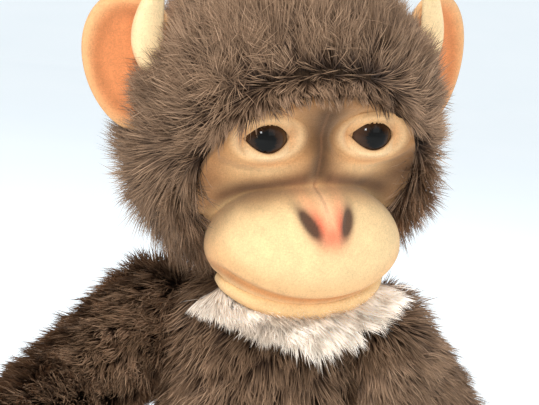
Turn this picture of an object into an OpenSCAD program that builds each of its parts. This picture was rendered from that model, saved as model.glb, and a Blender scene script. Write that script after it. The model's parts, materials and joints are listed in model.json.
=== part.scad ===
// Jointed mohair monkey, sitting: fur-covered stuffed body, felt face, ears,
// hands and feet, and a swivel disc joint at the neck, shoulders and hips.
// Millimetres. Origin at the centre of the flat seat, +Z up, chest towards -Y,
// the monkey's own left towards +X.

/* [Output] */
// Sub-part to draw, or all of them

/* [Body] */
// Height of the middle of the chest, where the shoulders sit
chest_height = 106; // [102:1:109]
// Radius of the chest, half of the pile included
chest_radius = 36; // [34:0.5:38]
// Radius of the belly, half of the pile included
belly_radius = 42; // [40:0.5:44]
// Radius of the bottom, half of the pile included
bottom_radius = 38; // [36:0.5:40]
// Height of the bottom ball's centre, which sets how wide the seat flat is
bottom_height = 29; // [26:0.5:32]
// Thickness of mohair cloth with its pile pressed halfway
pile = 5; // [3.5:0.5:6]
// Thickness of the cloth where a joint presses the pile flat
pad = 1.5; // [1:0.25:2.5]

/* [Head] */
// Radius of the head ball, half of the pile included
head_radius = 47; // [44:0.5:50]
// Forward lean of the neck axis
neck_lean = 12; // [6:1:14]
// Upward look of the face against the neck
face_lift = 8; // [0:1:12]
// Turn of the head to the monkey's left
head_turn = 26; // [-90:1:90]
// Half the distance between the eyes
eye_half = 16.6; // [14:0.2:19]
// Radius of the glass eye
eye_radius = 7.6; // [6.6:0.1:8.2]
// Radius of the muzzle roll
muzzle_radius = 21; // [18:0.5:23]
// Thickness of the face felt
felt = 1.2; // [0.8:0.1:2]
// Height of an ear
ear_height = 40; // [32:1:46]

/* [Arms] */
// Outward tilt of the shoulder plane
arm_flare = 18; // [16:1:20]
// Height of the shoulder joints
shoulder_height = 101.5; // [98:0.5:102.5]
// Forward raise of the right arm from hanging down
arm_right_raise = 70; // [-40:1:95]
// Forward raise of the left arm from hanging down
arm_left_raise = -33; // [-40:1:95]
// Radius of the shoulder end of an arm
shoulder_radius = 18.3; // [18:0.3:18.6]
// Radius at the elbow
elbow_radius = 16.5; // [14:0.5:18]
// Radius at the wrist
wrist_radius = 11.5; // [10:0.5:13]

/* [Legs] */
// Height of the hip joints
hip_height = 30; // [28:0.5:32]
// Forward raise of the legs from standing
leg_raise = 81.5; // [70:0.5:86]
// Outward splay of the legs when they point forward
leg_splay = 4; // [0:0.5:6]
// Radius of the hip end of a leg
hip_radius = 21; // [19:0.5:23]
// Radius at the knee
knee_radius = 18; // [16:0.5:20]
// Radius at the ankle
ankle_radius = 14; // [12:0.5:16]

/* [Joints] */
// Radius of a fibreboard joint disc
disc_radius = 10; // [8:0.5:10.5]
// Thickness of a fibreboard joint disc
disc_thick = 2.5; // [2:0.25:3]
// Radius of a cotter pin's shank
pin_radius = 1.25; // [1:0.05:1.6]
// Gap between two pads that turn on each other
pad_gap = 0.3; // [0.3:0.05:0.5]

/* [Hidden] */
$fn = 64;
running = 0.05;
washer_radius = 5;
washer_thick = 0.8;
curl_radius = 1.9;
core_radius = 7.5;
core_deep = 9;
// plane of each joint pad, measured from the body's middle
shoulder_x = 27;
hip_x = 27;
// height of the slope above each hip flat, where the belly bulges out again
hip_ledge = 24;
neck_y = -6;
neck_z = chest_height + chest_radius - 6;
head_ball = head_radius - 5.5;
beard_thick = 3;
// the flat that the face is set on, tipped down and out from the head's middle
face_tip = 35;
face_flat = 26;
eye_deep = 31;
brow_radius = 20;
brow_half = 13;
brow_deep = 13.5;
brow_drop = -3;
muzzle_half = 9;
muzzle_deep = 23;
muzzle_drop = -34;
lip_deep = 13;
lip_bend = 26.5;
lip_sweep = 62;
lip_radius = 3.2;
lid = 1.3;
ear_bend = 26;
big = 200;

// ---------- helpers ----------

// A ball-ended cone along +Z: radius a at the origin, radius b at height h.
module taper(a, b, h) {
  slope = (a - b) / h;
  side = sqrt(1 - slope * slope);
  rotate_extrude() {
    intersection() {
      union() {
        circle(a);
        translate([0, h]) circle(b);
        polygon([[0, a * slope], [a * side, a * slope],
                 [b * side, h + b * slope], [0, h + b * slope]]);
      }
      translate([0, -big]) square([big, 2 * big]);
    }
  }
}

// The same between two points.
module limb(p, q, a, b) {
  d = q - p;
  reach = norm(d);
  translate(p) rotate([0, acos(d[2] / reach), atan2(d[1], d[0])]) taper(a, b, reach);
}

// Everything above height z.
module above(z) {
  translate([-big, -big, z]) cube([2 * big, 2 * big, big]);
}

// A flat ring on its lower face.
module washer(outer, inner, thick) {
  difference() {
    cylinder(r = outer, h = thick);
    translate([0, 0, -1]) cylinder(r = inner, h = thick + 2);
  }
}

// ---------- places ----------

// Neck pad: +Z is the neck axis and the origin lies on the torso's neck flat.
module at_neck() {
  translate([0, neck_y, neck_z]) rotate([neck_lean, 0, 0]) children();
}

// Head middle, before the head is turned: chest side is -Y, up is the neck axis.
module at_head() {
  at_neck() rotate([0, 0, head_turn]) translate([0, 0, head_ball]) children();
}

// Face frame: as the head's, looking up a little.
module at_face() {
  at_head() rotate([-face_lift, 0, 0]) children();
}

// Shoulder pad: +Z points outwards, +X hangs down the side.
module at_shoulder(side) {
  mirror([side < 0 ? 1 : 0, 0, 0])
    translate([shoulder_x, 0, shoulder_height]) rotate([0, 90 - arm_flare, 0]) children();
}

// Hip pad: +Z points outwards, +X points down.
module at_hip(side) {
  mirror([side < 0 ? 1 : 0, 0, 0])
    translate([hip_x, 0, hip_height]) rotate([0, 0, leg_splay]) rotate([0, 90, 0]) children();
}

module at_arm(side) {
  raise = side < 0 ? arm_right_raise : arm_left_raise;
  at_shoulder(side) rotate([0, 0, -raise]) children();
}

module at_leg(side) {
  at_hip(side) rotate([0, 0, -leg_raise]) children();
}

// ---------- torso ----------

// Barrel of three balls joined by cones, less the inset all round.
module torso_barrel(inset) {
  rotate_extrude() {
    intersection() {
      union() {
        torso_outline(bottom_height, bottom_radius - inset, 62, belly_radius - inset);
        torso_outline(62, belly_radius - inset, chest_height, chest_radius - inset);
      }
      translate([0, -big]) square([big, 2 * big]);
    }
  }
}

module torso_outline(low, a, high, b) {
  slope = (a - b) / (high - low);
  side = sqrt(1 - slope * slope);
  translate([0, low]) circle(a);
  translate([0, high]) circle(b);
  polygon([[0, low + a * slope], [a * side, low + a * slope],
           [b * side, high + b * slope], [0, high + b * slope]]);
}

// The barrel with its seat and five joint flats, less the inset and the pad.
module torso_form(inset, pads) {
  difference() {
    torso_barrel(inset);
    translate([-big, -big, -big + pads]) cube([2 * big, 2 * big, big]);
    at_neck() above(-pads);
    at_shoulder(1) above(-pads);
    at_shoulder(-1) above(-pads);
    at_hip(1) hip_side(pads);
    at_hip(-1) hip_side(pads);
  }
}

// Everything outside a hip flat, up to the slope.
module hip_side(pads) {
  intersection() {
    above(-pads);
    rotate([0, 45, 0]) above(-hip_ledge - pads);
  }
}

// Where the five pads' outward axes are: z = 0 is the outer face of the pad.
module at_pads() {
  at_neck() children();
  at_shoulder(1) children();
  at_shoulder(-1) children();
  at_hip(1) children();
  at_hip(-1) children();
}

module torso_skin() {
  color("#4a372a") difference() {
    torso_form(0, 0);
    torso_form(pile, pad);
    at_pads() translate([0, 0, -pad - 1]) cylinder(r = pin_radius + running, h = pad + 2);
  }
}

// Room inside the stuffing for a disc, its washer and the pin's curled end.
module disc_room(depth) {
  translate([0, 0, -depth]) cylinder(r = disc_radius, h = depth);
  translate([0, 0, -depth - washer_thick - core_deep])
    cylinder(r = core_radius, h = washer_thick + core_deep + 0.5);
}

module torso_stuffing() {
  color("#c9b48a") difference() {
    torso_form(pile, pad);
    at_pads() translate([0, 0, -pad]) disc_room(disc_thick);
  }
}

module torso_discs() {
  color("#8a6a45") at_pads() translate([0, 0, -pad - disc_thick])
    washer(disc_radius, pin_radius, disc_thick);
}

module torso_washers() {
  color("#a8a8a8") at_pads() translate([0, 0, -pad - disc_thick - washer_thick])
    washer(washer_radius, pin_radius, washer_thick);
}

// Wire eye below, straight shank, and two ends curled back on the far washer.
module cotter_pin() {
  seat_low = -pad - disc_thick - washer_thick;
  seat_high = pad_gap + pad + disc_thick + washer_thick + running;
  wire = 0.6;
  translate([0, 0, seat_low]) cylinder(r = pin_radius, h = seat_high - seat_low + 0.6);
  translate([0, 0, seat_low - 2.4]) rotate([90, 0, 0])
    rotate_extrude() translate([2, 0]) circle(0.8, $fn = 24);
  for (turn = [0, 180])
    rotate([0, 0, turn]) translate([curl_radius + 0.3, 0, seat_high + curl_radius + wire])
      rotate([90, 0, 0]) rotate_extrude() translate([curl_radius, 0]) circle(wire, $fn = 24);
}

module cotter_pins() {
  color("#9c9c9c") at_pads() cotter_pin();
}

// ---------- head ----------

// Everything in front of the flat that the face is set on.
module before_face(shift) {
  rotate([face_tip, 0, 0]) translate([-big, -big - face_flat - shift, -big])
    cube([2 * big, big, 2 * big]);
}

// Brow roll and muzzle roll, less the inset.
module face_rolls(inset) {
  limb([-brow_half, -brow_deep, brow_drop], [brow_half, -brow_deep, brow_drop],
       brow_radius - inset, brow_radius - inset);
  limb([-muzzle_half, -muzzle_deep, muzzle_drop], [muzzle_half, -muzzle_deep, muzzle_drop],
       muzzle_radius - inset, muzzle_radius - inset);
}

module eye_balls(extra) {
  for (side = [-1, 1])
    translate([side * eye_half, -eye_deep + eye_radius * 0.55, 0]) sphere(eye_radius + extra);
}

// Room for the chest under the chin, the same at every turn of the head.
module chest_clear() {
  at_neck() translate([0, 0, chest_height - neck_z]) sphere(chest_radius + 2.5);
}

// Head frame cut for the neck flat: z = 0 is the pad's outer face.
module head_cut(lift) {
  at_neck() translate([0, 0, -big]) cylinder(r = big, h = big + lift);
}

module head_skin() {
  color("#4a372a") difference() {
    at_head() sphere(head_radius);
    at_head() sphere(head_radius - pile);
    at_face() before_face(0);
    head_cut(pad_gap);
  }
  color("#4a372a") head_pad();
}

// The flattened cloth under the head, with the hole that the pin runs in.
module head_pad() {
  difference() {
    intersection() {
      at_head() sphere(head_radius - pile);
      at_neck() translate([0, 0, pad_gap]) cylinder(r = 40, h = pad);
    }
    at_neck() cylinder(r = pin_radius + running, h = 10);
  }
}

module head_core() {
  difference() {
    at_head() sphere(head_radius - pile);
    at_face() before_face(-felt);
    head_cut(pad_gap + pad);
  }
}

module head_stuffing() {
  color("#c9b48a") difference() {
    union() {
      head_core();
      intersection() {
        at_face() face_rolls(felt);
        at_face() before_face(-felt);
      }
    }
    at_neck() translate([0, 0, pad_gap + pad]) mirror([0, 0, 1]) disc_room(disc_thick);
    at_face() eye_balls(0);
    at_face() shank_pair();
    chest_clear();
  }
}

module face_mask() {
  color("#e0b27c") difference() {
    union() {
      intersection() {
        at_face() face_rolls(0);
        at_face() before_face(0);
      }
      difference() {
        intersection() {
          at_head() sphere(head_radius - pile);
          at_face() before_face(-felt);
        }
        at_face() before_face(0);
      }
    }
    at_face() face_rolls(felt);
    at_face() eye_balls(0);
    chest_clear();
  }
}

// Felt roll of the lower lip, bent round the front of the muzzle.
module lower_lip() {
  color("#e8bd88") at_face() difference() {
    translate([0, -lip_deep, muzzle_drop - 11]) rotate([12, 0, 0]) rotate([0, 0, -90 - lip_sweep])
      rotate_extrude(angle = 2 * lip_sweep) translate([lip_bend, 0]) circle(lip_radius);
    face_rolls(0);
  }
}

// White chin pile under the lower lip.
module chin_beard() {
  color("#e9e2da") difference() {
    at_face() intersection() {
      limb([-muzzle_half, -muzzle_deep, muzzle_drop], [muzzle_half, -muzzle_deep, muzzle_drop],
           muzzle_radius + beard_thick, muzzle_radius + beard_thick);
      translate([-big, -big, -big]) cube([2 * big, 2 * big - 12 - big, big + muzzle_drop - 15.5]);
    }
    at_face() face_rolls(0);
    lower_lip();
    at_head() sphere(head_radius);
    chest_clear();
  }
}

module eye(side) {
  at_face() translate([side * eye_half, -eye_deep + eye_radius * 0.55, 0]) sphere(eye_radius);
}

module eye_left() {
  color("#1a120c") eye(1);
}

module eye_right() {
  color("#1a120c") eye(-1);
}

// Wire loops behind the eyes.
module shank_pair() {
  for (side = [-1, 1])
    translate([side * eye_half, -eye_deep + eye_radius * 1.55 + 2.2, 0])
      rotate([0, 90, 0]) rotate_extrude() translate([1.7, 0]) circle(0.55, $fn = 24);
}

module eye_shanks() {
  color("#8f8f8f") difference() {
    at_face() shank_pair();
    at_face() eye_balls(0);
  }
}

// Felt lids round both eyes, open in front.
module eyelids() {
  color("#c98f5e") at_face() difference() {
    intersection() {
      eye_balls(lid, $fn = 160);
      before_face(0);
    }
    eye_balls(0, $fn = 160);
    face_rolls(0, $fn = 160);
    for (side = [-1, 1])
      translate([side * eye_half, 0, 0]) rotate([90, 0, 0]) cylinder(r = eye_radius - 1.2, h = 60);
  }
}

// Cupped felt ear, standing out from the side of the head and facing forwards.
module ear(side) {
  at_face() mirror([side < 0 ? 1 : 0, 0, 0])
    translate([head_radius + 6, 3, 15]) rotate([0, 0, 24]) rotate([90, 0, 0]) intersection() {
      translate([0, 0, ear_bend]) difference() {
        sphere(ear_bend);
        sphere(ear_bend - 1.8);
      }
      linear_extrude(15) ear_oval();
    }
}

module ear_oval() {
  intersection() {
    translate([ear_height * 0.2, 0]) circle(ear_height * 0.54);
    translate([-ear_height * 0.2, 0]) circle(ear_height * 0.54);
  }
}

module ear_left() {
  color("#e59a63") difference() {
    ear(1);
    at_head() sphere(head_radius);
  }
}

module ear_right() {
  color("#e59a63") difference() {
    ear(-1);
    at_head() sphere(head_radius);
  }
}

module head_disc() {
  color("#8a6a45") at_neck() translate([0, 0, pad_gap + pad])
    washer(disc_radius, pin_radius + running, disc_thick);
}

module head_washer() {
  color("#a8a8a8") at_neck() translate([0, 0, pad_gap + pad + disc_thick])
    washer(washer_radius, pin_radius + running, washer_thick);
}

// ---------- arms ----------

elbow = [50, 6, 23];
wrist = [95, -7, 29];

module arm_form(inset, lift) {
  difference() {
    union() {
      limb([0, 0, 10], elbow, shoulder_radius - inset, elbow_radius - inset);
      limb(elbow, wrist, elbow_radius - 0.7 - inset, wrist_radius - inset);
    }
    translate([-big, -big, -big]) cube([2 * big, 2 * big, big + lift]);
  }
}

module cuff_cut() {
  translate(wrist) rotate([0, 0, -16]) translate([4, -big, -big]) cube([big, 2 * big, 2 * big]);
}

module arm_skin(side) {
  at_arm(side) difference() {
    arm_form(0, pad_gap);
    arm_form(pile, pad_gap + pad);
    cuff_cut();
    cylinder(r = pin_radius + running, h = 6);
  }
}

module arm_stuffing(side) {
  at_arm(side) difference() {
    arm_form(pile, pad_gap + pad);
    cuff_cut();
    translate([0, 0, pad_gap + pad]) mirror([0, 0, 1]) disc_room(disc_thick);
  }
}

// Felt hand: flat palm, four stitched fingers and a thumb, curled a little.
module hand(side) {
  at_arm(side) difference() {
    translate(wrist) rotate([0, 0, -16]) hand_form();
    translate(wrist) rotate([0, 0, -16])
      translate([-big + 4, -big, -big]) cube([big, 2 * big, 2 * big]);
  }
}

module hand_form() {
  limb([2, 0, 0], [15, -2, -1], 8, 7.5);
  for (i = [0:3]) {
    spread = i - 1.5;
    limb([14, spread * 4, -1], [30 - abs(spread - 0.3) * 1.6, spread * 5.6 - 1, -6], 3.9, 2.9);
  }
  limb([8, -6, 1], [19, -15, -4], 4.2, 3.1);
}

module arm_disc(side) {
  at_shoulder(side) translate([0, 0, pad_gap + pad])
    washer(disc_radius, pin_radius + running, disc_thick);
}

module arm_washer(side) {
  at_shoulder(side) translate([0, 0, pad_gap + pad + disc_thick])
    washer(washer_radius, pin_radius + running, washer_thick);
}

module arm_left_skin() { color("#4a372a") arm_skin(1); }
module arm_left_stuffing() { color("#c9b48a") arm_stuffing(1); }
module hand_left() { color("#dfa873") hand(1); }
module arm_left_disc() { color("#8a6a45") arm_disc(1); }
module arm_left_washer() { color("#a8a8a8") arm_washer(1); }
module arm_right_skin() { color("#4a372a") arm_skin(-1); }
module arm_right_stuffing() { color("#c9b48a") arm_stuffing(-1); }
module hand_right() { color("#dfa873") hand(-1); }
module arm_right_disc() { color("#8a6a45") arm_disc(-1); }
module arm_right_washer() { color("#a8a8a8") arm_washer(-1); }

// ---------- legs ----------

knee = [52, -3, 17.6];
ankle = [92, 2, 17];

module leg_form(inset, lift) {
  difference() {
    union() {
      limb([0, 0, 11], knee, hip_radius - inset, knee_radius - inset);
      limb(knee, ankle, knee_radius - 0.7 - inset, ankle_radius - inset);
    }
    translate([-big, -big, -big]) cube([2 * big, 2 * big, big + lift]);
  }
}

module hem_cut() {
  translate([ankle[0] + 6, -big, -big]) cube([big, 2 * big, 2 * big]);
}

module leg_skin(side) {
  at_leg(side) difference() {
    leg_form(0, pad_gap);
    leg_form(pile, pad_gap + pad);
    hem_cut();
    cylinder(r = pin_radius + running, h = 6);
  }
}

module leg_stuffing(side) {
  at_leg(side) difference() {
    leg_form(pile, pad_gap + pad);
    hem_cut();
    translate([0, 0, pad_gap + pad]) mirror([0, 0, 1]) disc_room(disc_thick);
  }
}

// Felt foot: ankle, sole with heel, four toes and a big toe set apart.
module foot(side) {
  at_leg(side) translate(ankle) foot_form();
}

module foot_form() {
  translate([6, 0, 0]) rotate([0, 90, 0]) cylinder(r1 = 12, r2 = 10.5, h = 8);
  limb([15, 3, 0], [15.6, -20, 0.4], 9, 7.8);
  for (i = [0:3])
    translate([15.4, -28.5 + abs(i - 1.7) * 1.6, i * 5 - 6.8]) sphere(4.2);
  toe([16.3, -8, -3], [17.6, -19, -12], 3.8);
}

module toe(p, q, r) {
  d = q - p;
  reach = norm(d);
  translate(p) rotate([0, acos(d[2] / reach), atan2(d[1], d[0])]) {
    cylinder(r = r, h = reach);
    translate([0, 0, reach]) sphere(r);
  }
}

module leg_disc(side) {
  at_hip(side) translate([0, 0, pad_gap + pad])
    washer(disc_radius, pin_radius + running, disc_thick);
}

module leg_washer(side) {
  at_hip(side) translate([0, 0, pad_gap + pad + disc_thick])
    washer(washer_radius, pin_radius + running, washer_thick);
}

module leg_left_skin() { color("#4a372a") leg_skin(1); }
module leg_left_stuffing() { color("#c9b48a") leg_stuffing(1); }
module foot_left() { color("#dfa873") foot(1); }
module leg_left_disc() { color("#8a6a45") leg_disc(1); }
module leg_left_washer() { color("#a8a8a8") leg_washer(1); }
module leg_right_skin() { color("#4a372a") leg_skin(-1); }
module leg_right_stuffing() { color("#c9b48a") leg_stuffing(-1); }
module foot_right() { color("#dfa873") foot(-1); }
module leg_right_disc() { color("#8a6a45") leg_disc(-1); }
module leg_right_washer() { color("#a8a8a8") leg_washer(-1); }

// ---------- draw ----------

torso_skin();
torso_stuffing();
torso_discs();
torso_washers();
cotter_pins();
head_skin();
head_stuffing();
face_mask();
lower_lip();
chin_beard();
eye_left();
eye_right();
eye_shanks();
eyelids();
ear_left();
ear_right();
head_disc();
head_washer();
arm_left_skin();
arm_left_stuffing();
hand_left();
arm_left_disc();
arm_left_washer();
arm_right_skin();
arm_right_stuffing();
hand_right();
arm_right_disc();
arm_right_washer();
leg_left_skin();
leg_left_stuffing();
foot_left();
leg_left_disc();
leg_left_washer();
leg_right_skin();
leg_right_stuffing();
foot_right();
leg_right_disc();
leg_right_washer();
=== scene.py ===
"""Looks of the jointed mohair monkey: brown and white mohair pile, airbrushed felt, glass eyes, with
painted shade deep in the pile and on the felt of the face.

Every shape is worked out in millimetres in a place of its own (face, torso, one arm, one leg)
and then carried into the CAD's frame, in metres.
"""
import json
import math

import bmesh
import bpy
import numpy as np
from mathutils import Matrix, Vector


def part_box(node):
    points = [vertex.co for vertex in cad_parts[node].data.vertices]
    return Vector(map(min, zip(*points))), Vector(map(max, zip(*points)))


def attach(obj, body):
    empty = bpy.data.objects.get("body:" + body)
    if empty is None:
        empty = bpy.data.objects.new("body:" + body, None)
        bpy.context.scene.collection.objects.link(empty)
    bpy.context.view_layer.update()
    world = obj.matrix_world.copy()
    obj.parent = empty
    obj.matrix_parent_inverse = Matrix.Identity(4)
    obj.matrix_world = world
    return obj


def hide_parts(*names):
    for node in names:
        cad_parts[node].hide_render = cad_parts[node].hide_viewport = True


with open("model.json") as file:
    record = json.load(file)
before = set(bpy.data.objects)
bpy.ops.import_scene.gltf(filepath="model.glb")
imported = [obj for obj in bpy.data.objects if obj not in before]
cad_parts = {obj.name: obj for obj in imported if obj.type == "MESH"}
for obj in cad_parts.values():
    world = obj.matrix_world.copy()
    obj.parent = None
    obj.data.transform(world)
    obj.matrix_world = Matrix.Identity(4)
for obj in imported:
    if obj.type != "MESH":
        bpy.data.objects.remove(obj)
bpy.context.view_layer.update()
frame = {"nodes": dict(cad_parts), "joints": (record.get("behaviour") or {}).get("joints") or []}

MM = 0.001
SEED = 20

# ---------- sizes, in millimetres and degrees ----------

HEAD_R = 43.0            # cloth ball of the head, under the pile
HEAD_LIFT = 41.5         # head's middle above the neck flat
FACE_LIFT = 8.0          # upward look of the face against the neck
FACE_TIP = 35.0          # tip of the flat that the face is set on
FACE_FLAT = 26.0         # distance of that flat from the head's middle
EYE_R = 7.6
EYE_X = 16.6
EYE_F = 31.0 - EYE_R * 0.55
LID_WIDE, LID_HIGH = 7.0, 4.25   # half size of the opening between the lids
SHOULDER_R, ELBOW_R, WRIST_R = 14.5, 12.0, 7.5
HIP_R, KNEE_R, ANKLE_R = 16.5, 13.5, 10.0
ARM_FLARE = 18.0
ARM_RAISE = {"right": 70.0, "left": -33.0}
LEG_SPLAY = 4.0
LEG_RAISE = 81.5
PILE = 12.0              # free length of the brown pile
CHIN_PILE = 14.0         # free length of the white pile


# ---------- places ----------

def unit(v):
    """Each vector over its own length."""
    v = np.asarray(v, float)
    return v / np.maximum(np.linalg.norm(v, axis=-1, keepdims=True), 1e-9)


def turn(axis, degrees):
    """Rotation matrix about x, y or z."""
    a = math.radians(degrees)
    c, s = math.cos(a), math.sin(a)
    i, j = {"x": (1, 2), "y": (2, 0), "z": (0, 1)}[axis]
    m = np.eye(3)
    m[i, i] = m[j, j] = c
    m[i, j] = -s
    m[j, i] = s
    return m


class Place:
    """A frame to work in. out() carries millimetres in it to metres in the CAD's frame, and into()
    carries them back."""

    def __init__(self, origin, matrix):
        self.origin = np.asarray(origin, float)
        self.matrix = np.asarray(matrix, float)
        self.mirrored = np.linalg.det(self.matrix) < 0

    def out(self, p):
        return self.origin + np.asarray(p, float) @ self.matrix.T * MM

    def into(self, p):
        return (np.asarray(p, float) - self.origin) @ self.matrix / MM


def joint(name):
    """The record's joint of that name."""
    return next(j for j in frame["joints"] if j["name"] == name)


def middle(node):
    """Middle of a CAD node's box, in metres."""
    low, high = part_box(node)
    return (np.array(low) + np.array(high)) / 2


def face_place():
    """Face frame: x to the monkey's left, y backwards, z up, from the head's middle."""
    neck = joint("neck_turn")
    up = unit(np.array(neck["axis"], float))
    left = unit(middle("eye_left") - middle("eye_right"))
    ahead = np.cross(left, up)
    c, s = math.cos(math.radians(FACE_LIFT)), math.sin(math.radians(FACE_LIFT))
    out_front = ahead * c + up * s
    out_top = up * c - ahead * s
    origin = np.array(neck["pos_m"]) + up * HEAD_LIFT * MM
    return Place(origin, np.stack([left, -out_front, out_top], axis=1))


def limb_place(name, side, base, raised):
    """Limb frame: z out of the body, x along the hanging limb, then turned to its rest raise."""
    flip = np.diag([1.0 if side == "left" else -1.0, 1, 1])
    return Place(joint(name)["pos_m"], flip @ base @ turn("z", -raised))


FACE = face_place()
TORSO = Place((0, 0, 0), np.eye(3))
ARMS = {s: limb_place(f"arm_{s}_swing", s, turn("y", 90 - ARM_FLARE), ARM_RAISE[s]) for s in ARM_RAISE}
LEGS = {s: limb_place(f"leg_{s}_swing", s, turn("z", LEG_SPLAY) @ turn("y", 90), LEG_RAISE)
        for s in ARM_RAISE}


# ---------- smooth noise, worked out for whole arrays ----------

def waves(p, scale, seed):
    """Sum of six sine waves in random directions: smooth noise from about -1 to 1."""
    rng = np.random.default_rng(seed)
    out = 0
    for _ in range(6):
        k = rng.normal(size=3) / scale
        out = out + np.sin(p @ k + rng.uniform(0, 6.28))
    return out / 3.2


def cell_noise(p, size, seed):
    """One random number a cell of a grid of that size, the same for every point in the cell."""
    key = np.floor(p / size)
    s = np.sin(key @ np.array([127.1, 311.7, 74.7]) + seed * 17.3) * 43758.5453
    return s - np.floor(s)


def ease(x, low, high):
    """Smooth step from 0 at low to 1 at high."""
    t = np.clip((x - low) / (high - low), 0, 1)
    return t * t * (3 - 2 * t)


def bell(x, width):
    """Bell curve of height 1."""
    return np.exp(-(x / width) ** 2)


# ---------- meshes ----------

def new_object(name, mesh, material, body):
    """An object with one material, in the scene and riding on a body."""
    obj = bpy.data.objects.new(name, mesh)
    bpy.context.scene.collection.objects.link(obj)
    obj.data.materials.append(material)
    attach(obj, body)
    return obj


def sheet_mesh(name, grid, around=False, uv=None):
    """Mesh of a grid of points (rows, columns, 3), in metres. around joins the last row to the first."""
    rows, cols = grid.shape[:2]
    index = np.arange(rows * cols).reshape(rows, cols)
    nxt = np.roll(index, -1, axis=0) if around else index[1:]
    low = index if around else index[:-1]
    faces = np.stack([low[:, :-1], nxt[:, :-1], nxt[:, 1:], low[:, 1:]], axis=-1).reshape(-1, 4)
    mesh = bpy.data.meshes.new(name)
    mesh.from_pydata(grid.reshape(-1, 3).tolist(), [], faces.tolist())
    mesh.polygons.foreach_set("use_smooth", np.ones(len(faces), bool))
    if uv is not None:
        layer = mesh.uv_layers.new(name="Pattern")
        layer.data.foreach_set("uv", uv.reshape(-1, 2)[faces.ravel()].ravel())
    return mesh


def weld(mesh, distance=1e-6):
    """Closes seams and poles, and turns all faces outwards."""
    b = bmesh.new()
    b.from_mesh(mesh)
    bmesh.ops.remove_doubles(b, verts=b.verts, dist=distance)
    bmesh.ops.dissolve_degenerate(b, edges=b.edges, dist=distance)
    bmesh.ops.recalc_face_normals(b, faces=b.faces)
    b.to_mesh(mesh)
    b.free()


def colour_layer(mesh, name, values):
    """A colour a vertex, in linear values (n, 3)."""
    layer = mesh.color_attributes.new(name, "FLOAT_COLOR", "POINT")
    rgba = np.ones((len(values), 4), np.float32)
    rgba[:, :3] = values
    layer.data.foreach_set("color", rgba.ravel())


# ---------- shader expressions ----------

class Value:
    """A shader socket with the arithmetic that the materials use."""

    def __init__(self, maker, socket):
        self.maker = maker
        self.socket = socket

    def _math(self, operation, *others):
        return self.maker.node("ShaderNodeMath", {"operation": operation}, 0, self, *others)

    def __add__(self, other):
        return self._math("ADD", other)

    def __radd__(self, other):
        return self._math("ADD", other)

    def __sub__(self, other):
        return self._math("SUBTRACT", other)

    def __rsub__(self, other):
        return self.maker.node("ShaderNodeMath", {"operation": "SUBTRACT"}, 0, other, self)

    def __mul__(self, other):
        return self._math("MULTIPLY", other)

    def __rmul__(self, other):
        return self._math("MULTIPLY", other)


class Material:
    """A node material with one Principled surface, written as expressions."""

    def __init__(self, name):
        self.material = bpy.data.materials.new(name)
        self.material.use_nodes = True
        self.tree = self.material.node_tree
        self.surface = self.tree.nodes["Principled BSDF"]

    def node(self, kind, settings, output, *inputs, **named):
        """A node of that type: its settings first, then values or links for its sockets."""
        made = self.tree.nodes.new(kind)
        for key, value in settings.items():
            if key == "ramp":
                self._ramp(made, value)
            else:
                setattr(made, key, value)
        for socket, value in list(zip(made.inputs, inputs)) + [(made.inputs[k.replace("_", " ")], v)
                                                               for k, v in named.items()]:
            if isinstance(value, Value):
                self.tree.links.new(value.socket, socket)
            elif value is not None:
                socket.default_value = value
        return Value(self, made.outputs[output])

    def _ramp(self, made, stops):
        ramp = made.color_ramp
        while len(ramp.elements) < len(stops):
            ramp.elements.new(0.5)
        for element, (place, colour) in zip(ramp.elements, stops):
            element.position = place
            element.color = (*colour, 1)

    def ramp(self, value, *stops):
        return self.node("ShaderNodeValToRGB", {"ramp": stops}, "Color", value)

    def mix(self, factor, a, b, how="MIX"):
        """Colour a to colour b by factor."""
        made = self.tree.nodes.new("ShaderNodeMix")
        made.data_type = "RGBA"
        made.blend_type = how
        made.clamp_result = False
        for socket, value in ((made.inputs[0], factor), (made.inputs[6], a), (made.inputs[7], b)):
            if isinstance(value, Value):
                self.tree.links.new(value.socket, socket)
            elif isinstance(value, tuple):
                socket.default_value = (*value, 1)
            else:
                socket.default_value = value
        return Value(self, made.outputs[2])

    def tint(self, colour, brightness):
        """Colour times a number that varies over the surface."""
        grey = self.node("ShaderNodeCombineColor", {}, 0, brightness, brightness, brightness)
        return self.mix(1.0, colour, grey, "MULTIPLY")

    def place(self):
        """Object coordinates."""
        return self.node("ShaderNodeTexCoord", {}, "Object")

    def stretched(self, vector, scale):
        return self.node("ShaderNodeMapping", {}, 0, vector, Scale=scale)

    def noise(self, vector, scale, detail=3.0, roughness=0.5):
        return self.node("ShaderNodeTexNoise", {}, 0, vector, Scale=scale, Detail=detail,
                         Roughness=roughness)

    def bump(self, height, strength, distance):
        return self.node("ShaderNodeBump", {}, 0, Height=height, Strength=strength,
                         Distance=distance)

    def set(self, **sockets):
        for key, value in sockets.items():
            socket = self.surface.inputs[key.replace("_", " ")]
            if isinstance(value, Value):
                self.tree.links.new(value.socket, socket)
            elif isinstance(value, tuple) and len(value) == 3 and key != "Subsurface_Radius":
                socket.default_value = (*value, 1)
            else:
                socket.default_value = value
        return self.material


# ---------- materials ----------

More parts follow.
